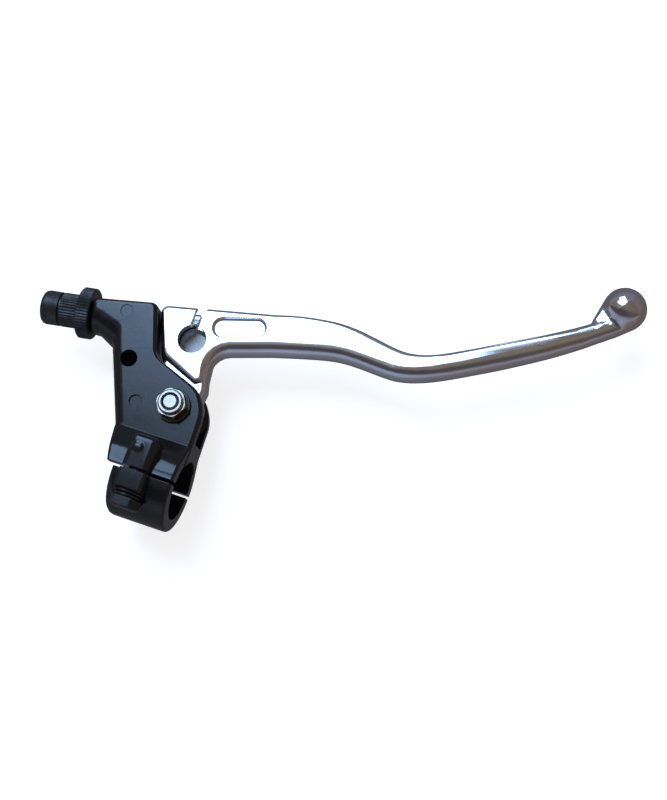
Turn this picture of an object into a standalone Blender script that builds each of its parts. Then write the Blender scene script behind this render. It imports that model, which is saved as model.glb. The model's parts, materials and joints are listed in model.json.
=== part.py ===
"""Motorcycle clutch lever: perch with handlebar clamp, lever on a pivot bolt, and cable adjuster.

Frame: the origin is the centre of the handlebar bore. +X runs along the handlebar towards the
lever's tip, +Y runs from the handlebar towards the pivot, and +Z runs along the pivot bolt out of
its nut. Dimensions are in millimetres and become metres where a mesh is made.
"""

import math

import bmesh
import bpy
from mathutils import Matrix, Vector

MM = 0.001
GAP = 0.25

# Handlebar clamp
BORE_R = 11.1
CLAMP_R = 16.0
CLAMP_RIGHT = 12.0
CAP_LEFT = -11.3
UPPER_LEFT = -13.6
UPPER_FLARE = 0.27
SPLIT_HALF = 0.6
BOSS_X = -1.9
BOSS_WIDTH = 10.6
BOSS_FACE_Z = 20.0
BOSS_TOP_Y = 13.0
CAP_BOSS_Y = -7.7
BOLT_Z = 15.0
M6_R = 3.0
M6_HOLE_R = 3.3
M6_FLATS = 10.0

# Perch
CHEEK_Z = 9.0
SLOT_Z = 4.9
PLATE_FOOT_Y = 15.5
SHOULDER_DEG = 33.1

# Pivot
PIVOT = Vector((0.6, 27.5, 0.0))
BUSH_R = 4.7
EYE_HOLE_R = 4.95
EYE_R = 9.6

# Lever
LEVER_Z = 5.0
TONGUE_Z = 4.0
CABLE_HOLE = (-3.2, 54.3)
CABLE_HOLE_R = 5.5
CABLE_FLOOR_Z = -3.4
CABLE_SLOT_WIDTH = 4.1
CABLE_SLIT_Z = 1.5
POCKET_CENTRE = (12.2, 63.8)
POCKET_DEG = 16.8
POCKET_LENGTH = 20.8
POCKET_WIDTH = 8.2
POCKET_DEPTH = 1.6
POCKET_ROUND = 1.2
NOSE_MARK = (-13.2, 61.0)
BALL = (144.1, 114.7)
BALL_R = 8.1
BALL_FAR_DEG = 55
TIP_HEEL = ((144.2, 103.8), (148.9, 108.0))
TIP_FILLET = 2.4
TIP_SECTIONS = 26
WEB_ROUND = 1.8
WEB_Z = 3.2

# Adjuster: distances are measured outwards from the end of the perch's boss
ADJUSTER_MOUTH = (-43.0, 53.15)
ADJUSTER_DEG = 188.8
BARREL_R = 6.5
THREAD_R = 4.7
THREAD_HOLE_R = 5.0
BARREL_END = 20.6
BARREL_START = 5.7
GROOVE_AT = 13.1
RING_R = 9.7
RING_LENGTH = 5.2
HOUSING_R = 3.2
WIRE_R = 1.6


def clear_scene():
    for item in list(bpy.data.objects):
        bpy.data.objects.remove(item, do_unlink=True)


def new_collection(name, hidden):
    found = bpy.data.collections.new(name)
    found.hide_render = hidden
    bpy.context.scene.collection.children.link(found)
    return found


def new_material(name, colour, roughness, metallic):
    made = bpy.data.materials.new(name)
    made.use_nodes = True
    shader = made.node_tree.nodes["Principled BSDF"]
    shader.inputs["Base Color"].default_value = (*colour, 1.0)
    shader.inputs["Roughness"].default_value = roughness
    shader.inputs["Metallic"].default_value = metallic
    made.diffuse_color = (*colour, 1.0)
    made.roughness = roughness
    made.metallic = metallic
    return made


def mesh_object(name, mesh, home):
    made = bpy.data.objects.new(name, mesh)
    home.objects.link(made)
    return made


def from_faces(name, points, faces, home):
    """An object from points in millimetres and faces, with its normals turned outwards."""
    mesh = bpy.data.meshes.new(name)
    mesh.from_pydata([Vector(p) * MM for p in points], [], faces)
    shape = bmesh.new()
    shape.from_mesh(mesh)
    bmesh.ops.recalc_face_normals(shape, faces=shape.faces)
    shape.to_mesh(mesh)
    shape.free()
    return mesh_object(name, mesh, home)


def arc(centre, radius, start_deg, end_deg, steps):
    found = []
    for i in range(steps + 1):
        a = math.radians(start_deg + (end_deg - start_deg) * i / steps)
        found.append((centre[0] + radius * math.cos(a), centre[1] + radius * math.sin(a)))
    return found


def fillet(before, corner, after, radius, steps):
    """The points of a corner rounded to a radius, or the corner itself where the radius is 0."""
    if radius == 0:
        return [corner] * (steps + 1)
    here = Vector(corner)
    back = (Vector(before) - here).normalized()
    ahead = (Vector(after) - here).normalized()
    half = back.angle(ahead) / 2
    reach = radius / math.tan(half)
    first = here + back * reach
    last = here + ahead * reach
    centre = here + (back + ahead).normalized() * radius / math.sin(half)
    start = first - centre
    sweep = start.angle_signed(last - centre)
    found = []
    for i in range(steps + 1):
        a = -sweep * i / steps
        turned = Vector((
            start.x * math.cos(a) - start.y * math.sin(a),
            start.x * math.sin(a) + start.y * math.cos(a),
        ))
        found.append(tuple(centre + turned))
    return found


def prism(name, outline, low, high, home):
    """A flat plate with this outline between two heights."""
    curve = bpy.data.curves.new(name + "_outline", "CURVE")
    curve.dimensions = "2D"
    curve.fill_mode = "BOTH"
    curve.extrude = (high - low) / 2 * MM
    spline = curve.splines.new("POLY")
    spline.points.add(len(outline) - 1)
    for point, (x, y) in zip(spline.points, outline):
        point.co = (x * MM, y * MM, 0.0, 1.0)
    spline.use_cyclic_u = True
    guide = mesh_object(name + "_guide", curve, home)
    graph = bpy.context.evaluated_depsgraph_get()
    mesh = bpy.data.meshes.new_from_object(guide.evaluated_get(graph))
    bpy.data.objects.remove(guide, do_unlink=True)
    shape = bmesh.new()
    shape.from_mesh(mesh)
    bmesh.ops.remove_doubles(shape, verts=shape.verts, dist=1e-7)
    bmesh.ops.translate(shape, verts=shape.verts, vec=(0, 0, (low + high) / 2 * MM))
    bmesh.ops.recalc_face_normals(shape, faces=shape.faces)
    shape.to_mesh(mesh)
    shape.free()
    mesh.name = name
    return mesh_object(name, mesh, home)


def cylinder(name, radius, low, high, home, segments=32):
    """A cylinder on the Z axis between two heights."""
    mesh = bpy.data.meshes.new(name)
    shape = bmesh.new()
    bmesh.ops.create_cone(
        shape,
        cap_ends=True,
        segments=segments,
        radius1=radius * MM,
        radius2=radius * MM,
        depth=(high - low) * MM,
        matrix=Matrix.Translation((0, 0, (low + high) / 2 * MM)),
    )
    shape.to_mesh(mesh)
    shape.free()
    return mesh_object(name, mesh, home)


def turned(name, profile, home, segments=32):
    """A shape turned about the Z axis from a profile of (radius, height) points.

    The points go down the outside and, where the shape has a hole, come back up the inside.
    """
    mesh = bpy.data.meshes.new(name)
    points = [(r * MM, 0.0, h * MM) for r, h in profile]
    edges = [(i, i + 1) for i in range(len(profile) - 1)]
    if profile[0][0] > 0:
        edges.append((len(profile) - 1, 0))
    mesh.from_pydata(points, edges, [])
    made = mesh_object(name, mesh, home)
    screw = made.modifiers.new("Turn", "SCREW")
    screw.axis = "Z"
    screw.steps = segments
    screw.render_steps = segments
    screw.use_merge_vertices = True
    screw.merge_threshold = 0.00001
    return made


def box(name, low, high, home):
    mesh = bpy.data.meshes.new(name)
    shape = bmesh.new()
    size = [(b - a) * MM for a, b in zip(low, high)]
    middle = [(a + b) / 2 * MM for a, b in zip(low, high)]
    frame = Matrix.Translation(middle) @ Matrix.Diagonal((*size, 1))
    bmesh.ops.create_cube(shape, size=1.0, matrix=frame)
    shape.to_mesh(mesh)
    shape.free()
    return mesh_object(name, mesh, home)


def bevel(item, width, segments):
    soft = item.modifiers.new("Edge", "BEVEL")
    soft.width = width * MM
    soft.segments = segments
    soft.limit_method = "ANGLE"
    soft.angle_limit = math.radians(40)
    return item


def place(item, x=0.0, y=0.0, z=0.0, turn=(0.0, 0.0, 0.0)):
    item.location = (x * MM, y * MM, z * MM)
    item.rotation_euler = [math.radians(a) for a in turn]
    return item


def combine(item, other, operation):
    """Adds the other solid to the item, or cuts it away."""
    step = item.modifiers.new(operation.title() + "_" + other.name, "BOOLEAN")
    step.operation = operation
    step.solver = "EXACT"
    step.object = other
    other.display_type = "WIRE"


def join(item, *others):
    for other in others:
        combine(item, other, "UNION")


def cut(item, *others):
    for other in others:
        combine(item, other, "DIFFERENCE")


def finish(item, material, angle_deg=35):
    """Applies the modifiers, shades the round faces smooth and gives the material."""
    bpy.context.view_layer.update()
    graph = bpy.context.evaluated_depsgraph_get()
    mesh = bpy.data.meshes.new_from_object(item.evaluated_get(graph))
    item.modifiers.clear()
    item.data = mesh
    mesh.name = item.name
    mesh.materials.clear()
    mesh.materials.append(material)
    mesh.shade_smooth()
    mesh.set_sharp_from_angle(angle=math.radians(angle_deg))
    return item


def move_origin(item, x, y, z):
    """Puts the object's origin on its joint's axis and leaves the shape where it is."""
    shift = Vector((x, y, z)) * MM
    item.data.transform(Matrix.Translation(-shift))
    item.location = shift


def column(outer, inner, half, steps):
    """Points up one rounded edge, from the lower flat face round the wall to the upper one."""
    reach = (Vector(inner) - Vector(outer)).length
    rise = min(reach, half - 0.15)
    upper = []
    for i in range(steps + 1):
        a = math.pi / 2 * i / steps
        along = 1 - math.cos(a)
        x = outer[0] + (inner[0] - outer[0]) * along
        y = outer[1] + (inner[1] - outer[1]) * along
        upper.append((x, y, half - rise + rise * math.sin(a)))
    return [(x, y, -z) for x, y, z in reversed(upper)] + upper


def pillow(name, outer, inner, half, steps, home):
    """A plate whose edge is rounded by the distance between its outer and inner outlines."""
    points = []
    for a, b in zip(outer, inner):
        points += column(a, b, half, steps)
    high = 2 * steps + 2
    count = len(outer)
    faces = []
    for i in range(count):
        j = (i + 1) % count
        for k in range(high - 1):
            faces.append((i * high + k, j * high + k, j * high + k + 1, i * high + k + 1))
    faces.append([i * high for i in reversed(range(count))])
    faces.append([i * high + high - 1 for i in range(count)])
    return from_faces(name, points, faces, home)


def paired(corners, steps=5):
    """Outer and inner outlines from corners (x, y, radius, inner x, inner y, inner radius)."""
    outer = []
    inner = []
    count = len(corners)
    for i, corner in enumerate(corners):
        before = corners[i - 1]
        after = corners[(i + 1) % count]
        if corner[2] == 0 and corner[5] == 0:
            outer.append(corner[:2])
            inner.append(corner[3:5])
            continue
        outer += fillet(before[:2], corner[:2], after[:2], corner[2], steps)
        inner += fillet(before[3:5], corner[3:5], after[3:5], corner[5], steps)
    return outer, inner


def hexagon(flats):
    corner = flats / math.sqrt(3)
    found = []
    for i in range(6):
        a = math.pi / 3 * i
        found.append((corner * math.cos(a), corner * math.sin(a)))
    return found


def toothed(radius, depth, count):
    """The outline of a straight knurl."""
    found = []
    for i in range(2 * count):
        r = radius if i % 2 else radius - depth
        a = math.pi * i / count
        found.append((r * math.cos(a), r * math.sin(a)))
    return found


def clamp_reach(angle):
    """Outer radius of the upper half at an angle from +Z: round, then a flat shoulder to the plate."""
    shoulder = math.radians(SHOULDER_DEG)
    folded = min(angle, math.pi - angle)
    corner = math.atan2(PLATE_FOOT_Y, CHEEK_Z)
    if folded <= shoulder:
        return CLAMP_R
    if folded <= corner:
        return CLAMP_R / math.cos(folded - shoulder)
    return PLATE_FOOT_Y / math.sin(folded)


def clamp_half(name, start_deg, end_deg, reach, left, left_round, right_round, home):
    """Half of the clamp's sleeve, lofted round the handlebar's axis, with rounded ends."""
    inner_r = BORE_R - 2.5
    sections = []
    count = 34
    for i in range(count + 1):
        angle = math.radians(start_deg + (end_deg - start_deg) * i / count)
        outer_r = reach(angle)
        x0 = left(outer_r * math.sin(angle))
        profile = [(x0, inner_r)]
        for k in range(4):
            a = math.pi / 2 * k / 3
            profile.append((
                x0 + left_round * (1 - math.cos(a)),
                outer_r - left_round * (1 - math.sin(a)),
            ))
        for k in range(4):
            a = math.pi / 2 * k / 3
            profile.append((
                CLAMP_RIGHT - right_round * (1 - math.sin(a)),
                outer_r - right_round * (1 - math.cos(a)),
            ))
        profile.append((CLAMP_RIGHT, inner_r))
        sections.append([(x, r * math.sin(angle), r * math.cos(angle)) for x, r in profile])
    wide = len(sections[0])
    points = [p for section in sections for p in section]
    faces = []
    for i in range(count):
        for k in range(wide):
            m = (k + 1) % wide
            faces.append((i * wide + k, i * wide + m, (i + 1) * wide + m, (i + 1) * wide + k))
    faces.append(list(range(wide)))
    faces.append([count * wide + k for k in reversed(range(wide))])
    return from_faces(name, points, faces, home)


def along_adjuster(item):
    """Stands a shape made on +Z along the adjuster's axis, with its zero at the boss's mouth."""
    return place(item, *ADJUSTER_MOUTH, 0.0, turn=(0, 90, ADJUSTER_DEG))


def build_perch(parts, tools, black):
    outer, inner = paired([
        (12.5, 8.0, 0, 11.0, 8.0, 0),
        (11.9, 28.5, 14, 10.3, 28.2, 12.5),
        (7.2, 35.9, 9, 6.3, 34.7, 8),
        (-12.7, 43.2, 6, -13.8, 42.6, 8),
        (-19.3, 62.8, 2.6, -20.6, 61.1, 1.2),
        (-43.7, 57.5, 1.6, -41.3, 56.4, 0.8),
        (-41.9, 45.8, 1.2, -40.6, 54.2, 0.8),
        (-38.3, 46.0, 1.5, -37.6, 53.8, 4),
        (-31.4, 42.6, 3, -29.0, 51.0, 4),
        (-29.4, 39.6, 4, -26.0, 43.0, 6),
        (-18.6, 15.2, 0, -14.9, 16.6, 0),
        (-17.0, 8.0, 0, -13.0, 8.0, 0),
    ])
    body = pillow("perch_body", outer, inner, CHEEK_Z, 5, parts)

    sleeve = clamp_half(
        "clamp_upper_sleeve", -8, 188, clamp_reach,
        lambda y: UPPER_LEFT - UPPER_FLARE * max(0.0, y), 1.3, 1.1, tools,
    )
    join(body, sleeve)
    half = BOSS_WIDTH / 2
    for side, name in ((1, "near"), (-1, "far")):
        low, high = sorted((side * 9.5, side * BOSS_FACE_Z))
        corners = (BOSS_X - half, -4, low), (BOSS_X + half, BOSS_TOP_Y, high)
        lug = box("upper_lug_" + name, *corners, tools)
        join(body, bevel(lug, 2.6, 4))
    pad = turned("upper_pad", [(0, 0.45), (1.5, 0.38), (2.4, 0.0), (2.4, -1.0), (0, -1.0)], tools, 24)
    join(body, place(pad, -3.0, 7.8, BOSS_FACE_Z))

    eye = PIVOT.xy
    slot = (
        arc(eye, EYE_R + 0.7, 180, 285, 12)
        + [(6.0, 17.2), (30.0, 17.2), (30.0, 58.0), (-13.9, 58.0), (-13.9, 47.5), (-11.3, 40.0)]
    )
    cut(body, prism("lever_slot", slot, -SLOT_Z, SLOT_Z, tools))
    bore = cylinder("handlebar_bore", BORE_R, -40, 40, tools, 62)
    cut(body, place(bore, turn=(0, 90, 0)))
    cut(body, box("split_upper", (-40, -40, -40), (40, SPLIT_HALF, 40), tools))
    cut(body, place(cylinder("pivot_hole", M6_HOLE_R, -20, 20, tools), *eye))
    for side, name in ((1, "near"), (-1, "far")):
        hole = cylinder("upper_bolt_hole_" + name, M6_HOLE_R, -11.0, 5.0, tools)
        cut(body, place(hole, BOSS_X, 0, side * BOLT_Z, turn=(90, 0, 0)))
    cut(body, along_adjuster(cylinder("adjuster_hole", THREAD_HOLE_R, -16, 20, tools)))
    cut(body, along_adjuster(cylinder("cable_channel", 2.8, -60, -10, tools, 24)))
    cut(body, place(cylinder("side_hole", 3.2, -3.0, 20, tools), -21.9, 39.3))
    for name, x, y, depth in (("upper", -29.2, 56.2, 0.3), ("lower", -13.7, 24.9, 0.8)):
        mark = cylinder("mark_" + name, 2.35, CHEEK_Z - depth, CHEEK_Z + 1, tools, 24)
        cut(body, place(mark, x, y))
    finish(body, black)


def build_cap(parts, tools, black):
    cap = clamp_half("clamp_cap", 173, 367, lambda angle: CLAMP_R, lambda y: CAP_LEFT, 2.6, 1.1, parts)
    half = BOSS_WIDTH / 2
    for side, name in ((1, "near"), (-1, "far")):
        low, high = sorted((side * 12.0, side * BOSS_FACE_Z))
        corners = (BOSS_X - half, CAP_BOSS_Y - 0.5, low), (BOSS_X + half, 6, high)
        lug = box("cap_lug_" + name, *corners, tools)
        join(cap, bevel(lug, 1.3, 3))
    cut(cap, box("split_lower", (-40, -SPLIT_HALF, -40), (40, 40, 40), tools))
    bore = cylinder("cap_bore", BORE_R, -40, 40, tools, 62)
    cut(cap, place(bore, turn=(0, 90, 0)))
    for side, name in ((1, "near"), (-1, "far")):
        hole = cylinder("cap_bolt_hole_" + name, M6_HOLE_R, -5.0, 20.0, tools, 30)
        cut(cap, place(hole, BOSS_X, 0, side * BOLT_Z, turn=(90, 0, 0)))
        face = cylinder("cap_spot_face_" + name, 6.2, -CAP_BOSS_Y, 20.0, tools)
        cut(cap, place(face, BOSS_X, 0, side * BOLT_Z, turn=(90, 0, 0)))
    finish(cap, black)


def washer(name, inner_r, outer_r, thickness, parts, segments=32):
    edge = min(0.2, thickness / 4)
    return turned(name, [
        (inner_r, thickness), (outer_r - edge, thickness), (outer_r, thickness - edge),
        (outer_r, edge), (outer_r - edge, 0), (inner_r, 0),
    ], parts, segments)


def hex_bolt(name, head, shank, parts, tools):
    """A hexagon bolt with its head's bearing face at zero, its shank below it and its head above."""
    bolt = prism(name, hexagon(M6_FLATS), 0, head, parts)
    corner = M6_FLATS / math.sqrt(3)
    crown = turned(name + "_crown", [
        (0, head + 2), (corner + 3, head + 2), (corner + 3, head - 1.6), (corner + 0.4, head - 1.0),
        (corner - 2.9, head + 1.0), (0, head + 1.0),
    ], tools)
    cut(bolt, crown)
    stem = turned(name + "_stem", [
        (0, 1.0), (M6_R, 1.0), (M6_R, 0.9 - shank), (M6_R - 0.7, -shank), (0, -shank),
    ], tools)
    join(bolt, stem)
    return bolt


def build_clamp_bolts(parts, tools, zinc_black):
    seat = -CAP_BOSS_Y + GAP
    for side, name in ((1, "near"), (-1, "far")):
        spot = {"x": BOSS_X, "z": side * BOLT_Z, "turn": (90, 0, 0)}
        flat = washer("clamp_washer_" + name, M6_HOLE_R, 5.6, 0.8, parts)
        finish(place(flat, y=-seat, **spot), zinc_black)
        spring = washer("clamp_spring_washer_" + name, M6_HOLE_R, 5.0, 1.2, parts)
        wedge = box("spring_split_" + name, (2.0, -0.35, -1.0), (7.0, 0.35, 3.0), tools)
        wedge.rotation_euler = (math.radians(25), 0, 0)
        wedge.parent = spring
        cut(spring, wedge)
        finish(place(spring, y=-(seat + 0.8 + GAP), **spot), zinc_black)
        under = seat + 2.0 + 2 * GAP
        bolt = hex_bolt("clamp_bolt_" + name, 3.7, under + 10.2, parts, tools)
        for helper in list(bolt.modifiers):
            helper.object.parent = bolt
        finish(place(bolt, y=-under, **spot), zinc_black)


def lever_stations():
    """Stations (x, y, heading, width, half thickness, edge radius) along the blade's centre line."""
    return [
        (24.6, 65.3, 12.4, 15.5, 5.0, 2.0),
        (34.4, 67.9, 13.4, 15.3, 5.0, 2.0),
        (45.5, 70.0, 8.0, 14.2, 5.0, 2.0),
        (53.0, 70.4, -0.5, 13.2, 5.0, 2.0),
        (60.2, 69.8, -6.5, 12.2, 5.0, 2.0),
        (67.0, 69.0, -5.5, 11.4, 5.0, 2.0),
        (73.0, 68.7, 2.5, 10.8, 5.0, 2.0),
        (79.3, 69.8, 16.0, 9.9, 5.0, 2.0),
        (87.0, 72.7, 25.0, 9.2, 5.0, 2.0),
        (98.0, 78.5, 29.0, 9.0, 5.0, 2.1),
        (108.2, 84.3, 29.8, 9.0, 4.9, 2.2),
        (121.5, 92.2, 32.0, 8.4, 4.7, 2.5),
        (131.4, 98.8, 35.0, 7.8, 4.4, 2.9),
        (136.2, 102.4, 37.5, 7.4, 4.2, 3.0),
    ]


def blade_sections():
    """The blade's stations with smooth steps between them."""
    keys = lever_stations()
    count = len(keys)
    found = []
    for i in range(count - 1):
        before = keys[max(i - 1, 0)]
        here = keys[i]
        after = keys[i + 1]
        beyond = keys[min(i + 2, count - 1)]
        steps = 3
        for k in range(steps + (i == count - 2)):
            t = k / steps
            row = []
            for a, b, c, d in zip(before, here, after, beyond):
                low, high = min(b, c), max(b, c)
                slope_b = (c - a) / 2 if i else c - b
                slope_c = (d - b) / 2 if i < count - 2 else c - b
                value = (
                    (2 * t**3 - 3 * t**2 + 1) * b + (t**3 - 2 * t**2 + t) * slope_b
                    + (3 * t**2 - 2 * t**3) * c + (t**3 - t**2) * slope_c
                )
                spread = 0.25 * (high - low) + 0.02
                row.append(min(max(value, low - spread), high + spread))
            found.append(row)
    return found


def blade_edges(section):
    """Outer and inner points of the blade's bar side and front side at a station."""
    x, y, heading, width, half, edge = section
    a = math.radians(heading)
    across = Vector((-math.sin(a), math.cos(a)))
    centre = Vector((x, y))
    bar_round = min(half, width - edge - 0.6)
    bar = centre - across * width / 2
    front = centre + across * width / 2
    return (
        (tuple(bar), tuple(bar + across * bar_round)),
        (tuple(front), tuple(front - across * edge)),
    )


def tangent_deg(point, side):
    """Where a line from the point touches the ball's outline, as an angle round the ball's centre."""
    away = Vector(point) - Vector(BALL)
    return math.degrees(math.atan2(away.y, away.x) + side * math.acos(BALL_R / away.length))


def tip_outline():
    """The tip's bar side and front side, from the blade's neck to the ball's far point."""
    bar, front = blade_edges(lever_stations()[-1])
    bar_start = tangent_deg(TIP_HEEL[-1], 1)
    front_start = tangent_deg(front[0], -1) + 360
    bar_side = [bar[0], *TIP_HEEL] + arc(BALL, BALL_R, bar_start, BALL_FAR_DEG, 24)
    front_side = [front[0]] + arc(BALL, BALL_R, front_start, BALL_FAR_DEG, 24)
    return bar_side, front_side


def along(path, share):
    """The point this share of the way along a path."""
    steps = [(Vector(b) - Vector(a)).length for a, b in zip(path, path[1:])]
    left = share * sum(steps)
    for a, b, length in zip(path, path[1:], steps):
        if left <= length:
            return Vector(a).lerp(Vector(b), left / length)
        left -= length
    return Vector(path[-1])


def edge_distance(point, path):
    found = []
    for a, b in zip(path, path[1:]):
        start = Vector(a)
        side = Vector(b) - start
        t = min(max((point - start).dot(side) / side.length_squared, 0), 1)
        found.append((start + side * t - point).length)
    return min(found)


def run_together(a, b, reach):
    """The larger of two heights, with a fillet where they are nearly equal."""
    near = max(reach - abs(a - b), 0)
    return max(a, b) + near**2 / (4 * max(reach, 0.01))


def rounded_edge(distance, reach, height):
    t = min(distance / reach, 1)
    return height * math.sqrt(1 - (1 - t) ** 2)


def tip_height(point, bar_side, front_side):
    """Half the tip's thickness at a point: ball, neck and thin web run into each other."""
    bar = edge_distance(point, bar_side)
    edge = min(bar, edge_distance(point, front_side))
    x, y, heading, width, half, front_round = lever_stations()[-1]
    a = math.radians(heading)
    across = (point - Vector((x, y))).dot(Vector((-math.sin(a), math.cos(a))))
    ball = math.sqrt(max(BALL_R**2 - (point - Vector(BALL)).length_squared, 0))
    neck = min(
        rounded_edge(bar, half, half),
        rounded_edge(max(width / 2 - across, 0), front_round, half),
    )
    web = rounded_edge(edge, WEB_ROUND, WEB_Z)
    fillet = TIP_FILLET * min(edge / TIP_FILLET, 1)
    return run_together(run_together(ball, neck, fillet), web, fillet / 2)


def tip_sections(steps):
    """Sections across the tip, each as a column up the bar side and one up the front side."""
    bar_side, front_side = tip_outline()
    found = []
    for k in range(1, TIP_SECTIONS + 1):
        share = k / (TIP_SECTIONS + 0.35)
        bar = along(bar_side, share)
        front = along(front_side, share)
        section = []
        for start, end in ((bar, front), (front, bar)):
            upper = []
            for i in range(steps + 1):
                t = 0.49 * (1 - math.cos(math.pi / 2 * i / steps))
                point = start.lerp(end, t)
                z = max(tip_height(point, bar_side, front_side), 1.1 * (1 - share) ** 3 + 0.05)
                upper.append((point.x, point.y, z))
            section += [(x, y, -z) for x, y, z in reversed(upper)] + upper
        found.append(section)
    return found


def lever_mesh(home):
    """Nose, limb and blade in one skin: rounded edge columns, flat faces between them."""
    steps = 6
    high = 2 * steps + 2
    sections = blade_sections()
    first_bar, first_front = blade_edges(sections[0])
    outer, inner = paired([
        (*first_bar[0], 0, *first_bar[1], 0),
        (*first_bar[0], 0, *first_bar[1], 0),
        (5.6, 51.0, 7.5, 0.6, 54.5, 11),
        (7.6, 39.6, 1.2, 4.2, 41.4, 0.8),
        (3.9, 37.5, 0.8, 3.4, 40.6, 0.8),
        (-11.9, 43.4, 5.5, -10.6, 46.8, 5),
        (-19.15, 63.4, 2.6, -17.2, 61.9, 1.2),
        (*first_front[0], 0, *first_front[1], 0),
    ])
    outer = outer[1:-1]
    inner = inner[1:-1]
    points = []
    for a, b in zip(outer, inner):
        points += column(a, b, LEVER_Z, steps)
    head = len(outer)
    for section in sections:
        bar, front = blade_edges(section)
        points += column(*bar, section[4], steps)
        points += column(*front, section[4], steps)
    for section in tip_sections(steps):
        points += section
    tops = [head + 2 * i for i in range(len(sections) + TIP_SECTIONS)]
    faces = []

    def wall(i, j):
        for k in range(high - 1):
            faces.append((i * high + k, j * high + k, j * high + k + 1, i * high + k + 1))

    ring = [tops[0]] + list(range(head)) + [tops[0] + 1]
    for i, j in zip(ring, ring[1:]):
        wall(i, j)
    faces.append([i * high + high - 1 for i in ring])
    faces.append([i * high for i in reversed(ring)])
    for a, b in zip(tops, tops[1:]):
        wall(b, a)
        wall(a + 1, b + 1)
        faces.append((a * high, b * high, (b + 1) * high, (a + 1) * high))
        k = high - 1
        faces.append((a * high + k, (a + 1) * high + k, (b + 1) * high + k, b * high + k))
    last = tops[-1]
    faces.append(
        [last * high + k for k in range(high)] + [(last + 1) * high + k for k in reversed(range(high))]
    )
    return from_faces("lever_blade", points, faces, home)


def build_lever(parts, tools, polished):
    lever = lever_mesh(parts)
    eye = PIVOT.xy

    def tongue_outline(inset):
        return (
            [(6.6 - inset, 49.0)]
            + [(7.5 - inset, 41.5), (8.6 - inset, 37.5)]
            + arc(eye, EYE_R - inset, 38, -180, 24)
            + [(-10.4 + inset, 40.0), (-12.2 + inset, 46.0), (-9.0 + inset, 49.0)]
        )

    tongue = pillow("lever_tongue", tongue_outline(0), tongue_outline(2.2), TONGUE_Z, 4, tools)
    join(lever, tongue)
    cut(lever, place(cylinder("eye_hole", EYE_HOLE_R, -10, 10, tools), *eye))

    hole = turned("cable_hole", [
        (0, 8), (CABLE_HOLE_R, 8), (CABLE_HOLE_R, CABLE_FLOOR_Z + 1.2),
        (CABLE_HOLE_R - 1.1, CABLE_FLOOR_Z), (0, CABLE_FLOOR_Z),
    ], tools, 40)
    cut(lever, place(hole, *CABLE_HOLE))
    half = CABLE_SLOT_WIDTH / 2
    x, y = CABLE_HOLE
    mouth = x - 0.6
    slot = box("cable_slot", (mouth - half, y + 2, -CABLE_SLIT_Z), (mouth + half, y + 25, 8), tools)
    cut(lever, slot)
    slit = [(mouth, y - 3.0)] + arc((x, y), 26, 192, 94, 8) + [(mouth, y + 6.0)]
    cut(lever, prism("cable_slit", slit, -CABLE_SLIT_Z, CABLE_SLIT_Z, tools))

    straight = (POCKET_LENGTH - POCKET_WIDTH) / 2
    straight_ends = []
    for inset in (0, POCKET_ROUND):
        r = POCKET_WIDTH / 2 - inset
        straight_ends.append(arc((straight, 0), r, -90, 90, 12) + arc((-straight, 0), r, 90, 270, 12))
    for side, name in ((1, "near"), (-1, "far")):
        pocket = pillow("pocket_" + name, *straight_ends, POCKET_DEPTH, 4, tools)
        cut(lever, place(pocket, *POCKET_CENTRE, side * LEVER_Z, turn=(0, 0, POCKET_DEG)))
    floor = LEVER_Z - POCKET_DEPTH
    for name, spot, height in (("pocket", POCKET_CENTRE, floor), ("nose", NOSE_MARK, LEVER_Z)):
        mark = turned("mark_" + name, [
            (1.75, height + 0.4), (1.75, height - 0.12), (1.35, height - 0.12), (1.35, height + 0.4),
        ], tools, 28)
        cut(lever, place(mark, *spot))
    finish(lever, polished, 30)
    move_origin(lever, *PIVOT)


def build_pivot(parts, tools, zinc, bronze, nylon, steel):
    bush = washer("pivot_bush", M6_HOLE_R, BUSH_R, 2 * TONGUE_Z, parts)
    finish(place(bush, *PIVOT.xy, -TONGUE_Z), bronze)
    for side, name in ((1, "near"), (-1, "far")):
        thrust = washer("thrust_washer_" + name, M6_HOLE_R, 7.6, 0.45, parts)
        height = TONGUE_Z + 0.22 if side > 0 else -TONGUE_Z - 0.22 - 0.45
        finish(place(thrust, *PIVOT.xy, height), steel)
    plate = CHEEK_Z + GAP
    for side, name in ((1, "nut"), (-1, "head")):
        disc = washer("pivot_washer_" + name, M6_HOLE_R, 6.4, 1.1, parts)
        height = plate if side > 0 else -plate - 1.1
        finish(place(disc, *PIVOT.xy, height), zinc)

    seat = plate + 1.1 + GAP
    bolt = hex_bolt("pivot_bolt", 4.0, 2 * seat + 5.7, parts, tools)
    for helper in list(bolt.modifiers):
        helper.object.parent = bolt
    finish(place(bolt, *PIVOT.xy, -seat, turn=(180, 0, 0)), zinc)

    nut = prism("pivot_nut", hexagon(M6_FLATS), 0, 3.9, parts)
    corner = M6_FLATS / math.sqrt(3)
    chamfer = turned("nut_chamfer", [
        (0, 8), (corner + 3, 8), (corner + 3, 2.6), (corner + 0.4, 3.2), (4.7, 4.4), (0, 4.4),
    ], tools)
    collar = turned("nut_collar", [
        (0, 5.6), (4.1, 5.6), (4.55, 5.35), (4.7, 4.8), (4.7, 2.5), (0, 2.5),
    ], tools)
    core = turned("nut_core", [
        (0, 8), (3.45, 8), (3.45, 5.15), (3.95, 5.15), (3.95, 3.6),
        (M6_R + 0.25, 3.6), (M6_R + 0.25, -1), (0, -1),
    ], tools, 30)
    cut(nut, chamfer)
    join(nut, collar)
    cut(nut, core)
    for helper in (chamfer, collar, core):
        helper.parent = nut
    finish(place(nut, *PIVOT.xy, seat), zinc)
    ring = washer("pivot_nut_insert", M6_R + 0.2, 3.7, 1.3, parts)
    finish(place(ring, *PIVOT.xy, seat + 3.75), nylon)


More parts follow.
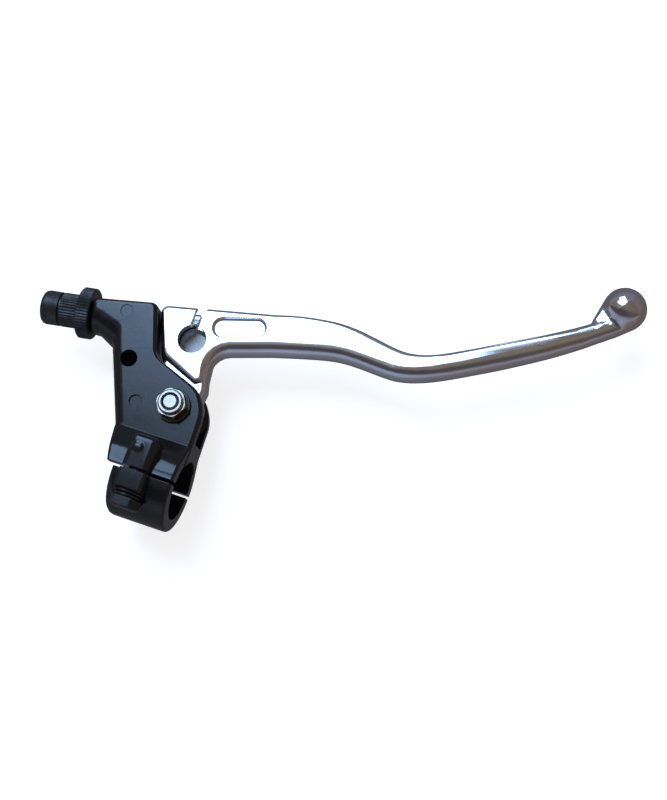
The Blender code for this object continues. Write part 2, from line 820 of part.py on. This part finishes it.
def build_adjuster(parts, tools, black_steel):
    end = BARREL_END
    groove = 0.5
    barrel = turned("adjuster_barrel", [
        (HOUSING_R + 0.4, end), (4.4, end), (5.6, end - 0.5), (6.2, end - 1.1),
        (BARREL_R, end - 2.1),
        (BARREL_R, GROOVE_AT + groove), (BARREL_R - 0.9, GROOVE_AT + groove),
        (BARREL_R - 0.9, GROOVE_AT - groove), (BARREL_R - 0.2, GROOVE_AT - groove),
        (BARREL_R - 0.2, BARREL_START), (THREAD_R, BARREL_START), (THREAD_R, -13.4),
        (THREAD_R - 0.6, -14.0), (WIRE_R, -14.0), (WIRE_R, 9.0), (HOUSING_R, 9.0),
        (HOUSING_R, end - 0.4),
    ], parts, 40)
    teeth = toothed(BARREL_R, 0.3, 40)
    knurl = prism("barrel_knurl", teeth, BARREL_START + 0.3, GROOVE_AT - groove, tools)
    knurl_core = cylinder("barrel_knurl_core", BARREL_R - 1.6, -20, 40, tools)
    cut(knurl, knurl_core)
    join(barrel, knurl)
    knurl.parent = barrel
    knurl_core.parent = barrel
    finish(along_adjuster(barrel), black_steel)

    ring = prism("lock_ring", toothed(RING_R, 0.3, 54), GAP, GAP + RING_LENGTH, parts)
    chamfer = turned("ring_chamfer", [
        (14, 8), (14, -3), (RING_R - 3.0, -3), (RING_R - 0.6, GAP - 0.05), (RING_R + 0.3, GAP + 0.8),
        (RING_R + 0.3, GAP + RING_LENGTH - 0.8), (RING_R - 0.6, GAP + RING_LENGTH + 0.05),
        (RING_R - 3.0, 8),
    ], tools, 48)
    ring_hole = cylinder("ring_hole", THREAD_HOLE_R, -5, 12, tools)
    cut(ring, chamfer, ring_hole)
    chamfer.parent = ring
    ring_hole.parent = ring
    finish(along_adjuster(ring), black_steel)


def main():
    clear_scene()
    parts = new_collection("clutch_lever", False)
    tools = new_collection("cutters", True)
    black = new_material("black_paint", (0.012, 0.013, 0.015), 0.38, 0.0)
    polished = new_material("polished_aluminium", (0.86, 0.87, 0.88), 0.14, 1.0)
    zinc = new_material("zinc_plate", (0.75, 0.76, 0.77), 0.25, 1.0)
    dark_zinc = new_material("black_zinc", (0.03, 0.03, 0.033), 0.4, 0.8)
    bronze = new_material("sintered_bronze", (0.55, 0.36, 0.18), 0.45, 1.0)
    nylon = new_material("nylon", (0.35, 0.38, 0.42), 0.5, 0.0)
    steel = new_material("spring_steel", (0.45, 0.45, 0.46), 0.35, 1.0)
    black_steel = new_material("blackened_steel", (0.025, 0.025, 0.027), 0.45, 0.7)
    build_perch(parts, tools, black)
    build_cap(parts, tools, black)
    build_clamp_bolts(parts, tools, dark_zinc)
    build_lever(parts, tools, polished)
    build_pivot(parts, tools, zinc, bronze, nylon, steel)
    build_adjuster(parts, tools, black_steel)


main()
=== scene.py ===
"""The looks of a motorcycle clutch lever and its perch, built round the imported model.

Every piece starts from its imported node: the same solid with its flat facets joined, its round faces
shaded smooth and its sharp edges broken. The adjuster's thread is added, since its node has a plain
cylinder there.
Lengths are in metres and angles in degrees, but the camera's lens and sensor are in millimetres.
"""

import json
import math

import bmesh
import bpy
from mathutils import Matrix, Vector


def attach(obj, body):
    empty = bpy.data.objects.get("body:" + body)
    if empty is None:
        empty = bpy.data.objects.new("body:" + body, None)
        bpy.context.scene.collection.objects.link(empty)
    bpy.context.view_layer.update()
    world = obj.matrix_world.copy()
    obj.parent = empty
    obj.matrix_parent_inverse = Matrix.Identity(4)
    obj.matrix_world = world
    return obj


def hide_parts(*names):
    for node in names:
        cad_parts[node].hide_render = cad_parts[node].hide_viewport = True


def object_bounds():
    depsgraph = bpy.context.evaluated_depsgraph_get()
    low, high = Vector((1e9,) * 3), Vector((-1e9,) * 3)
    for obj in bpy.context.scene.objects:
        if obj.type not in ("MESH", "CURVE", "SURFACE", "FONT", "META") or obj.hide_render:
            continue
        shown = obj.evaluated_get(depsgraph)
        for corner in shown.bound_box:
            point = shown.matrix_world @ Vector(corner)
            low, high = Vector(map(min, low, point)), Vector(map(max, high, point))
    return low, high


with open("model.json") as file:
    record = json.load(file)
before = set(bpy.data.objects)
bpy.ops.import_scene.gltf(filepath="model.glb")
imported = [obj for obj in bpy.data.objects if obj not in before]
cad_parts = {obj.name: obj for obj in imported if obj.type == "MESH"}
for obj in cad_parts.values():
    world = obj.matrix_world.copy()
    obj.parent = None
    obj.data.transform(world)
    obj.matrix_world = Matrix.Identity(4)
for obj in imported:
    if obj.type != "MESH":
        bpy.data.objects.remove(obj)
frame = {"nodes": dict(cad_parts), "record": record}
CAD_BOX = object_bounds()
MM = 0.001

CAMERA_AT = (0.1472, -0.0638, 0.5342)
CAMERA_AIM = (0.0538, 0.0496, 0.0)
CAMERA_ROLL = -20.755
CAMERA_LENS = 68.06
CAMERA_SENSOR = 36.0
CAMERA_CLIP = (0.01, 50.0)

# The lever's cable hole is left as cast below its polished face
MOUNTS = {mount["name"]: mount["pos_m"] for mount in frame["record"]["mounts"]}
CABLE_HOLE = MOUNTS["cable_nipple_floor"][:2]
CABLE_HOLE_REACH = 5.7 * MM
POLISHED_ABOVE = 4.85 * MM


# Materials


class Tree:
    """A node material made one node at a time."""

    def __init__(self, name):
        self.material = bpy.data.materials.new(name)
        self.material.use_nodes = True
        self.nodes = self.material.node_tree.nodes
        self.links = self.material.node_tree.links
        self.shader = self.nodes["Principled BSDF"]
        self.place = self.add("ShaderNodeTexCoord").outputs["Object"]

    def add(self, kind, **settings):
        node = self.nodes.new(kind)
        for key, value in settings.items():
            setattr(node, key, value)
        return node

    def link(self, source, target):
        self.links.new(source, target)

    def set(self, **values):
        """Sets the shader's own sockets; an underscore stands for a space."""
        for key, value in values.items():
            self.shader.inputs[key.replace("_", " ")].default_value = value

    def stretch(self, scale, turn=(0, 0, 0)):
        """The object's own coordinates, turned and then stretched."""
        mapping = self.add("ShaderNodeMapping", vector_type="TEXTURE")
        mapping.inputs["Rotation"].default_value = [math.radians(a) for a in turn]
        mapping.inputs["Scale"].default_value = scale
        self.link(self.place, mapping.inputs["Vector"])
        return mapping.outputs["Vector"]

    def noise(self, size, detail=3.0, roughness=0.5, vector=None):
        """A noise whose grains are about this many metres across."""
        node = self.add("ShaderNodeTexNoise")
        node.inputs["Scale"].default_value = 1 / size
        node.inputs["Detail"].default_value = detail
        node.inputs["Roughness"].default_value = roughness
        self.link(vector or self.place, node.inputs["Vector"])
        return node.outputs["Fac"]

    def cells(self, size):
        """The distance to the nearest of many scattered points."""
        node = self.add("ShaderNodeTexVoronoi")
        node.inputs["Scale"].default_value = 1 / size
        self.link(self.place, node.inputs["Vector"])
        return node.outputs["Distance"]

    def span(self, value, low, high, start=0.3, end=0.7):
        """Maps a texture's middle range onto low..high."""
        node = self.add("ShaderNodeMapRange")
        node.inputs["From Min"].default_value = start
        node.inputs["From Max"].default_value = end
        node.inputs["To Min"].default_value = low
        node.inputs["To Max"].default_value = high
        self.link(value, node.inputs["Value"])
        return node.outputs["Result"]

    def colours(self, value, first, second, start=0.35, end=0.65):
        """A smooth change from one colour to another as the value rises."""
        ramp = self.add("ShaderNodeValToRGB")
        stops = ramp.color_ramp.elements
        stops[0].position = start
        stops[0].color = (*first, 1.0)
        stops[1].position = end
        stops[1].color = (*second, 1.0)
        self.link(value, ramp.inputs["Fac"])
        return ramp.outputs["Color"]

    def inside(self, centre, reach, top):
        """One within this distance of an upright axis and below this height, and zero elsewhere."""
        split = self.add("ShaderNodeSeparateXYZ")
        self.link(self.place, split.inputs["Vector"])
        flat = self.add("ShaderNodeCombineXYZ")
        self.link(split.outputs["X"], flat.inputs["X"])
        self.link(split.outputs["Y"], flat.inputs["Y"])
        away = self.add("ShaderNodeVectorMath", operation="DISTANCE")
        self.link(flat.outputs["Vector"], away.inputs[0])
        away.inputs[1].default_value = (*centre, 0.0)
        near = self.span(away.outputs["Value"], 1.0, 0.0, reach - 0.1 * MM, reach + 0.1 * MM)
        below = self.span(split.outputs["Z"], 1.0, 0.0, top - 0.05 * MM, top + 0.05 * MM)
        both = self.add("ShaderNodeMath", operation="MULTIPLY")
        self.link(near, both.inputs[0])
        self.link(below, both.inputs[1])
        return both.outputs["Value"]

    def blend(self, factor, first, second):
        """The first colour where the factor is zero, the second where it is one."""
        node = self.add("ShaderNodeMixRGB")
        self.link(factor, node.inputs["Fac"])
        self.link(first, node.inputs["Color1"])
        self.link(second, node.inputs["Color2"])
        return node.outputs["Color"]

    def sum(self, *values):
        """All the values added up."""
        total = values[0]
        for value in values[1:]:
            node = self.add("ShaderNodeMath", operation="ADD")
            self.link(total, node.inputs[0])
            self.link(value, node.inputs[1])
            total = node.outputs["Value"]
        return total

    def bump(self, *layers):
        """Adds heights to the surface, each layer a value and its height in metres."""
        normal = None
        for value, height in layers:
            node = self.add("ShaderNodeBump")
            node.inputs["Strength"].default_value = 1.0
            node.inputs["Distance"].default_value = height
            self.link(value, node.inputs["Height"])
            if normal:
                self.link(normal, node.inputs["Normal"])
            normal = node.outputs["Normal"]
        self.link(normal, self.shader.inputs["Normal"])


def polished_alloy():
    """Forged alloy buffed to a mirror, with slow waves and fine lines; the cable hole is left raw."""
    tree = Tree("polished_alloy")
    lines = tree.noise(0.00022, 4, 0.6, tree.stretch((60, 1, 1), (0, 0, 22)))
    haze = tree.noise(0.006, 4, 0.6)
    waves = tree.noise(0.014, 1.5, 0.4)
    tint = tree.noise(0.02, 2, 0.5)
    grit = tree.noise(0.0007, 4, 0.65)
    raw = tree.inside(CABLE_HOLE, CABLE_HOLE_REACH, POLISHED_ABOVE)
    buffed = tree.colours(tint, (0.84, 0.835, 0.83), (0.9, 0.905, 0.915))
    cast = tree.colours(grit, (0.46, 0.455, 0.46), (0.66, 0.65, 0.65))
    tree.link(tree.blend(raw, buffed, cast), tree.shader.inputs["Base Color"])
    rough = tree.sum(
        tree.span(haze, 0.06, 0.12), tree.span(lines, 0.0, 0.05), tree.span(raw, 0.0, 0.4, 0, 1)
    )
    tree.link(rough, tree.shader.inputs["Roughness"])
    tree.bump((waves, 0.00004), (lines, 0.0000012))
    tree.set(Metallic=1.0)
    return tree.material


def black_paint():
    """Semi-gloss black over a casting: orange peel, slow dips, duller patches and a little dust."""
    tree = Tree("black_paint")
    peel = tree.noise(0.0009, 3, 0.55)
    dips = tree.noise(0.006, 2, 0.5)
    dull = tree.noise(0.004, 4, 0.65)
    specks = tree.cells(0.0016)
    dust = tree.noise(0.012, 5, 0.7)
    colour = tree.colours(dust, (0.012, 0.0115, 0.0115), (0.021, 0.0185, 0.0165), 0.45, 0.75)
    tree.link(colour, tree.shader.inputs["Base Color"])
    rough = tree.sum(tree.span(dull, 0.1, 0.15), tree.span(specks, 0.04, 0.0, 0.0, 0.35))
    tree.link(rough, tree.shader.inputs["Roughness"])
    tree.bump((dips, 0.000012), (peel, 0.0000015))
    tree.set(Specular_IOR_Level=0.5)
    return tree.material


def plated_steel(name, bright, dark, low, high, grain=0.0004):
    """Plated steel: fine tumbling marks and patches of slightly different gloss."""
    tree = Tree(name)
    patches = tree.noise(0.0025, 4, 0.6)
    marks = tree.noise(grain, 3, 0.6)
    tree.link(tree.colours(patches, dark, bright), tree.shader.inputs["Base Color"])
    rough = tree.sum(tree.span(patches, low, high), tree.span(marks, 0.0, 0.06))
    tree.link(rough, tree.shader.inputs["Roughness"])
    tree.bump((patches, 0.00001), (marks, 0.000003))
    tree.set(Metallic=1.0)
    return tree.material


def blackened_steel():
    """Phosphated steel, dull and slightly grained, rubbed brighter in patches."""
    tree = Tree("blackened_steel")
    grain = tree.noise(0.0004, 4, 0.7)
    rubbed = tree.noise(0.003, 5, 0.65)
    colour = tree.colours(rubbed, (0.035, 0.034, 0.034), (0.075, 0.073, 0.072), 0.4, 0.7)
    tree.link(colour, tree.shader.inputs["Base Color"])
    tree.link(tree.span(rubbed, 0.5, 0.36), tree.shader.inputs["Roughness"])
    tree.bump((grain, 0.000008))
    tree.set(Metallic=0.5)
    return tree.material


def black_zinc():
    """Black zinc plate, worn a little brighter in patches."""
    tree = Tree("black_zinc")
    patches = tree.noise(0.002, 4, 0.6)
    grain = tree.noise(0.0005, 3, 0.6)
    colour = tree.colours(patches, (0.02, 0.02, 0.022), (0.045, 0.044, 0.043), 0.4, 0.7)
    tree.link(colour, tree.shader.inputs["Base Color"])
    tree.link(tree.span(patches, 0.42, 0.28), tree.shader.inputs["Roughness"])
    tree.bump((grain, 0.000005))
    tree.set(Metallic=0.6)
    return tree.material


def sintered_bronze():
    """Pressed and oil-filled bronze, full of small pores."""
    tree = Tree("sintered_bronze")
    pores = tree.cells(0.00035)
    oil = tree.noise(0.002, 3, 0.6)
    tree.link(tree.colours(oil, (0.3, 0.18, 0.08), (0.5, 0.33, 0.16)), tree.shader.inputs["Base Color"])
    tree.link(tree.span(oil, 0.3, 0.5), tree.shader.inputs["Roughness"])
    tree.bump((pores, 0.00003))
    tree.set(Metallic=1.0)
    return tree.material


def nylon():
    """Grey nylon, faintly clouded and scuffed."""
    tree = Tree("nylon")
    cloud = tree.noise(0.0015, 3, 0.6)
    scuffs = tree.noise(0.0003, 3, 0.6)
    tree.link(tree.colours(cloud, (0.2, 0.24, 0.3), (0.3, 0.34, 0.39)), tree.shader.inputs["Base Color"])
    tree.link(tree.span(scuffs, 0.35, 0.55), tree.shader.inputs["Roughness"])
    tree.bump((scuffs, 0.00001))
    tree.set(Subsurface_Weight=0.1, Subsurface_Scale=0.001)
    return tree.material


MATERIALS = {
    "black_paint": black_paint(),
    "polished_aluminium": polished_alloy(),
    "zinc_plate": plated_steel("zinc_plate", (0.62, 0.57, 0.49), (0.42, 0.36, 0.29), 0.14, 0.28),
    "dull_zinc": plated_steel("dull_zinc", (0.12, 0.105, 0.085), (0.07, 0.06, 0.046), 0.3, 0.46),
    "black_zinc": black_zinc(),
    "sintered_bronze": sintered_bronze(),
    "nylon": nylon(),
    "spring_steel": plated_steel("spring_steel", (0.5, 0.5, 0.5), (0.36, 0.36, 0.37), 0.22, 0.36),
    "blackened_steel": blackened_steel(),
}


# Pieces


def body_of(node):
    """The moving body that the node belongs to."""
    for name, members in frame["record"]["behaviour"]["bodies"].items():
        if node in members:
            return name
    return "root"


# Corners this close are one corner, and faces this nearly in line are one face
SAME_CORNER = 2e-6
SAME_FACE = 0.4


def clean_copy(node):
    """The node's solid as one skin, with the triangles of each flat face joined."""
    source = frame["nodes"][node].data
    mesh = bpy.data.meshes.new(node + "_skin")
    mesh.from_pydata(
        [v.co.copy() for v in source.vertices], [], [tuple(p.vertices) for p in source.polygons]
    )
    shape = bmesh.new()
    shape.from_mesh(mesh)
    bmesh.ops.remove_doubles(shape, verts=shape.verts, dist=SAME_CORNER)
    bmesh.ops.dissolve_limit(
        shape, angle_limit=math.radians(SAME_FACE), verts=shape.verts, edges=shape.edges
    )
    shape.to_mesh(mesh)
    shape.free()
    return mesh


def add_piece(name, mesh, body, slot):
    """Makes a visible piece that rides on a body, in its slot's material."""
    made = bpy.data.objects.new(name, mesh)
    bpy.context.scene.collection.objects.link(made)
    mesh.materials.clear()
    mesh.materials.append(MATERIALS[slot])
    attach(made, body)
    return made


def soften(item, edge, sharp):
    """Shades an item smooth up to the sharp angle; sharper edges are broken by this much, or kept."""
    mesh = item.data
    mesh.shade_smooth()
    if edge:
        soft = item.modifiers.new("Edge", "BEVEL")
        soft.width = edge
        soft.segments = 2
        soft.limit_method = "ANGLE"
        soft.angle_limit = math.radians(sharp)
        soft.use_clamp_overlap = False
    else:
        mesh.set_sharp_from_angle(angle=math.radians(sharp))
    weighted = item.modifiers.new("Normals", "WEIGHTED_NORMAL")
    weighted.keep_sharp = True
    weighted.weight = 50


# How far each piece's edges are broken, and the angle from which an edge counts as sharp
EDGES = {
    "perch_body": (0.12 * MM, 36),
    "clamp_cap": (0.12 * MM, 36),
    "lever_blade": (0.0, 26),
    "lock_ring": (0.0, 40),
    "pivot_nut": (0.0, 28),
}
OTHER_EDGES = (0.0, 32)


def build_pieces():
    """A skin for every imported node, in the place of the node."""
    for entry in frame["record"]["subparts"]:
        node = entry["node"]
        slot = entry["material_slot"]
        made = add_piece(node + "_skin", clean_copy(node), body_of(node), slot)
        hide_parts(node)
        soften(made, *EDGES.get(node, OTHER_EDGES))


# The adjuster's thread, measured along its axis from the mouth of the perch's threaded boss
THREAD_FROM = -13.0 * MM
THREAD_TO = 5.4 * MM
THREAD_CORE = 4.7 * MM
THREAD_PITCH = 1.25 * MM
THREAD_DEPTH = 0.25 * MM
THREAD_STEPS = 24
THREAD_EDGE = (0.0, 50)

# The ridge's outline: millimetres past the core (None for the crest) and pitches along the axis
THREAD_OUTLINE = ((-0.15, -0.42), (None, -0.06), (None, 0.06), (-0.15, 0.42))


def helix(foot, axis, length):
    """A screw thread's ridge, standing on a plain cylinder that starts at the foot."""
    count = int(length / THREAD_PITCH * THREAD_STEPS)
    turn = axis.normalized().to_track_quat("Z", "Y").to_matrix()
    shape = bmesh.new()
    rings = []
    for k in range(count + 1):
        a = 2 * math.pi * k / THREAD_STEPS
        taper = min(1.0, k / THREAD_STEPS, (count - k) / THREAD_STEPS)
        rise = THREAD_PITCH * k / THREAD_STEPS
        ring = []
        for out, up in THREAD_OUTLINE:
            r = THREAD_CORE + (THREAD_DEPTH * taper if out is None else out * MM)
            spot = Vector((r * math.cos(a), r * math.sin(a), rise + up * THREAD_PITCH))
            ring.append(shape.verts.new(foot + turn @ spot))
        rings.append(ring)
    for low, high in zip(rings, rings[1:]):
        for i in range(len(THREAD_OUTLINE)):
            j = (i + 1) % len(THREAD_OUTLINE)
            shape.faces.new((low[i], low[j], high[j], high[i]))
    shape.faces.new(reversed(rings[0]))
    shape.faces.new(rings[-1])
    bmesh.ops.recalc_face_normals(shape, faces=shape.faces)
    mesh = bpy.data.meshes.new("adjuster_thread")
    shape.to_mesh(mesh)
    shape.free()
    return mesh


def build_thread():
    """The adjuster's thread, from inside the perch to the knurled barrel."""
    joints = {joint["name"]: joint for joint in frame["record"]["behaviour"]["joints"]}
    axis = Vector(joints["adjuster_turn"]["axis"])
    foot = Vector(joints["adjuster_turn"]["pos_m"]) + axis * THREAD_FROM
    mesh = helix(foot, axis, THREAD_TO - THREAD_FROM)
    made = add_piece("adjuster_thread", mesh, body_of("adjuster_barrel"), "blackened_steel")
    soften(made, *THREAD_EDGE)


# Stage

# What stands round the object, by degrees from straight up: negative towards +Y, positive towards -Y.
# Each table here starts with its two ends, and then runs from low to high.
ROOM = (
    (-180, (0.11, 0.11, 0.13)),
    (180, (0.11, 0.11, 0.13)),
    (-100, (0.12, 0.12, 0.15)),
    (-80, (0.16, 0.17, 0.21)),
    (-45, (0.2, 0.2, 0.23)),
    (-20, (0.16, 0.13, 0.105)),
    (0, (0.2, 0.165, 0.135)),
    (12, (0.17, 0.145, 0.125)),
    (24, (0.07, 0.066, 0.08)),
    (48, (0.05, 0.055, 0.08)),
    (62, (0.26, 0.29, 0.4)),
    (78, (0.3, 0.33, 0.44)),
    (92, (0.17, 0.18, 0.23)),
    (150, (0.11, 0.11, 0.13)),
)

# A broad soft panel overhead, by the components of the direction towards it
OVERHEAD_BY_Y = (
    (-1.0, 0.0),
    (1.0, 0.0),
    (-0.32, 0.0),
    (0.0, 0.03),
    (0.12, 0.06),
    (0.17, 0.34),
    (0.22, 1.0),
    (0.34, 1.0),
    (0.42, 0.0),
)
OVERHEAD_BY_X = (
    (-1.0, 0.0),
    (1.0, 0.0),
    (-0.75, 0.0),
    (-0.55, 1.0),
    (-0.14, 1.0),
    (-0.06, 0.0),
)
OVERHEAD_RADIANCE = (2.7, 4.2, 6.5)

# A warm wall to the right, mixed in by how far the direction points that way
WARM_BY_X = (
    (-1.0, 0.0),
    (1.0, 0.5),
    (0.15, 0.0),
    (0.6, 0.5),
)
WARM = (0.15, 0.105, 0.075)

# A bluish window in front of the object
WINDOW_DISTANCE = 3.0
WINDOW_WAY = (-0.368, 0.589, 0.719)
WINDOW_SIZE = (1.25, 1.5)
WINDOW_RADIANCE = (2.1, 3.4, 5.2)

# What the camera itself sees past the floor's edge
BACKDROP = (0.95, 0.95, 0.95)

FLOOR_CENTRE = (0.05, 0.05)
FLOOR_HALF = 3.0
FLOOR_GAP = 0.2 * MM
FLOOR_GLOW = 0.78


def build_stage():
    """A pale floor just under the object, left out of the metal's reflections."""
    mesh = bpy.data.meshes.new("floor")
    shape = bmesh.new()
    bmesh.ops.create_grid(shape, x_segments=1, y_segments=1, size=FLOOR_HALF)
    shape.to_mesh(mesh)
    shape.free()
    floor = bpy.data.objects.new("floor", mesh)
    floor.location = (*FLOOR_CENTRE, CAD_BOX[0].z - FLOOR_GAP)
    bpy.context.scene.collection.objects.link(floor)
    tree = Tree("floor")
    tree.set(Roughness=0.9, Specular_IOR_Level=0.1)
    tree.set(Emission_Color=(1, 1, 1, 1), Emission_Strength=FLOOR_GLOW)
    fibres = tree.noise(0.004, 3, 0.6)
    pale = tree.colours(fibres, (0.9, 0.9, 0.9), (0.92, 0.92, 0.92))
    tree.link(pale, tree.shader.inputs["Base Color"])
    mesh.materials.append(tree.material)
    floor.visible_glossy = False


def softbox(name, direction, distance, size, radiance):
    """A flat lamp that faces the object; its radiance doesn't depend on its size."""
    data = bpy.data.lights.new(name, "AREA")
    data.shape = "RECTANGLE"
    data.size, data.size_y = size
    data.color = [part / max(radiance) for part in radiance]
    data.energy = max(radiance) * math.pi * size[0] * size[1]
    lamp = bpy.data.objects.new(name, data)
    away = Vector(direction).normalized()
    lamp.location = Vector(CAMERA_AIM) + away * distance
    lamp.rotation_euler = away.to_track_quat("Z", "Y").to_euler()
    bpy.context.scene.collection.objects.link(lamp)


class Sky:
    """The studio's surroundings as one world shader."""

    def __init__(self):
        self.world = bpy.data.worlds.new("studio")
        self.world.use_nodes = True
        bpy.context.scene.world = self.world
        self.nodes = self.world.node_tree.nodes
        self.links = self.world.node_tree.links

    def math(self, operation, first, second=None):
        """One step of arithmetic on numbers or on other nodes' outputs."""
        node = self.nodes.new("ShaderNodeMath")
        node.operation = operation
        for socket, value in zip(node.inputs, (first, second)):
            if isinstance(value, float):
                socket.default_value = value
            elif value is not None:
                self.links.new(value, socket)
        return node.outputs["Value"]

    def ramp(self, value, low, high, table):
        """A colour or a level of grey, looked up by a value between low and high."""
        share = self.nodes.new("ShaderNodeMapRange")
        share.inputs["From Min"].default_value = low
        share.inputs["From Max"].default_value = high
        self.links.new(value, share.inputs["Value"])
        node = self.nodes.new("ShaderNodeValToRGB")
        self.links.new(share.outputs["Result"], node.inputs["Fac"])
        stops = node.color_ramp.elements
        for k, (at, colour) in enumerate(table):
            if not isinstance(colour, tuple):
                colour = (colour, colour, colour)
            stop = stops[k] if k < 2 else stops.new((at - low) / (high - low))
            stop.color = (*colour, 1)
        return node.outputs["Color"]

    def mix(self, blend, factor, first, second):
        """Two colours put together by one of the blend types."""
        node = self.nodes.new("ShaderNodeMixRGB")
        node.blend_type = blend
        for socket, value in zip(node.inputs, (factor, first, second)):
            if isinstance(value, float):
                socket.default_value = value
            elif isinstance(value, tuple):
                socket.default_value = (*value, 1)
            else:
                self.links.new(value, socket)
        return node.outputs["Color"]


def build_light():
    """The window as a lamp, and the rest of the studio as the world."""
    softbox("window", WINDOW_WAY, WINDOW_DISTANCE, WINDOW_SIZE, WINDOW_RADIANCE)

    sky = Sky()
    where = sky.nodes.new("ShaderNodeTexCoord")
    split = sky.nodes.new("ShaderNodeSeparateXYZ")
    sky.links.new(where.outputs["Generated"], split.inputs["Vector"])
    x, y, z = (split.outputs[axis] for axis in "XYZ")
    angle = sky.math("ARCTAN2", sky.math("MULTIPLY", y, -1.0), z)
    room = sky.ramp(sky.math("MULTIPLY", angle, 180 / math.pi), -180, 180, ROOM)
    warmth = sky.ramp(x, -1, 1, WARM_BY_X)
    room = sky.mix("MIX", warmth, room, WARM)
    lengthwise = sky.ramp(y, -1, 1, OVERHEAD_BY_Y)
    sideways = sky.ramp(x, -1, 1, OVERHEAD_BY_X)
    upper = sky.math("GREATER_THAN", z, 0.0)
    patch = sky.mix("MULTIPLY", 1.0, lengthwise, sideways)
    patch = sky.mix("MULTIPLY", 1.0, patch, upper)
    lamp = sky.mix("MULTIPLY", 1.0, patch, OVERHEAD_RADIANCE)
    seen = sky.nodes.new("ShaderNodeLightPath")
    around = sky.mix("ADD", 1.0, room, lamp)
    shown = sky.mix("MIX", seen.outputs["Is Camera Ray"], around, BACKDROP)
    sky.links.new(shown, sky.nodes["Background"].inputs["Color"])
    sky.nodes["Background"].inputs["Strength"].default_value = 1.0


def build_camera():
    """The camera at the photograph's viewing angle."""
    data = bpy.data.cameras.new("camera")
    data.lens = CAMERA_LENS
    data.sensor_width = CAMERA_SENSOR
    data.clip_start, data.clip_end = CAMERA_CLIP
    camera = bpy.data.objects.new("camera", data)
    ahead = Vector(CAMERA_AIM) - Vector(CAMERA_AT)
    roll = Matrix.Rotation(math.radians(CAMERA_ROLL), 3, "Z")
    turn = ahead.to_track_quat("-Z", "Y").to_matrix() @ roll
    camera.matrix_world = Matrix.Translation(CAMERA_AT) @ turn.to_4x4()
    bpy.context.scene.collection.objects.link(camera)
    bpy.context.scene.camera = camera
    bpy.context.scene.view_settings.view_transform = "Standard"


build_pieces()
build_thread()
build_stage()
build_light()
build_camera()

bpy.context.view_layer.update()
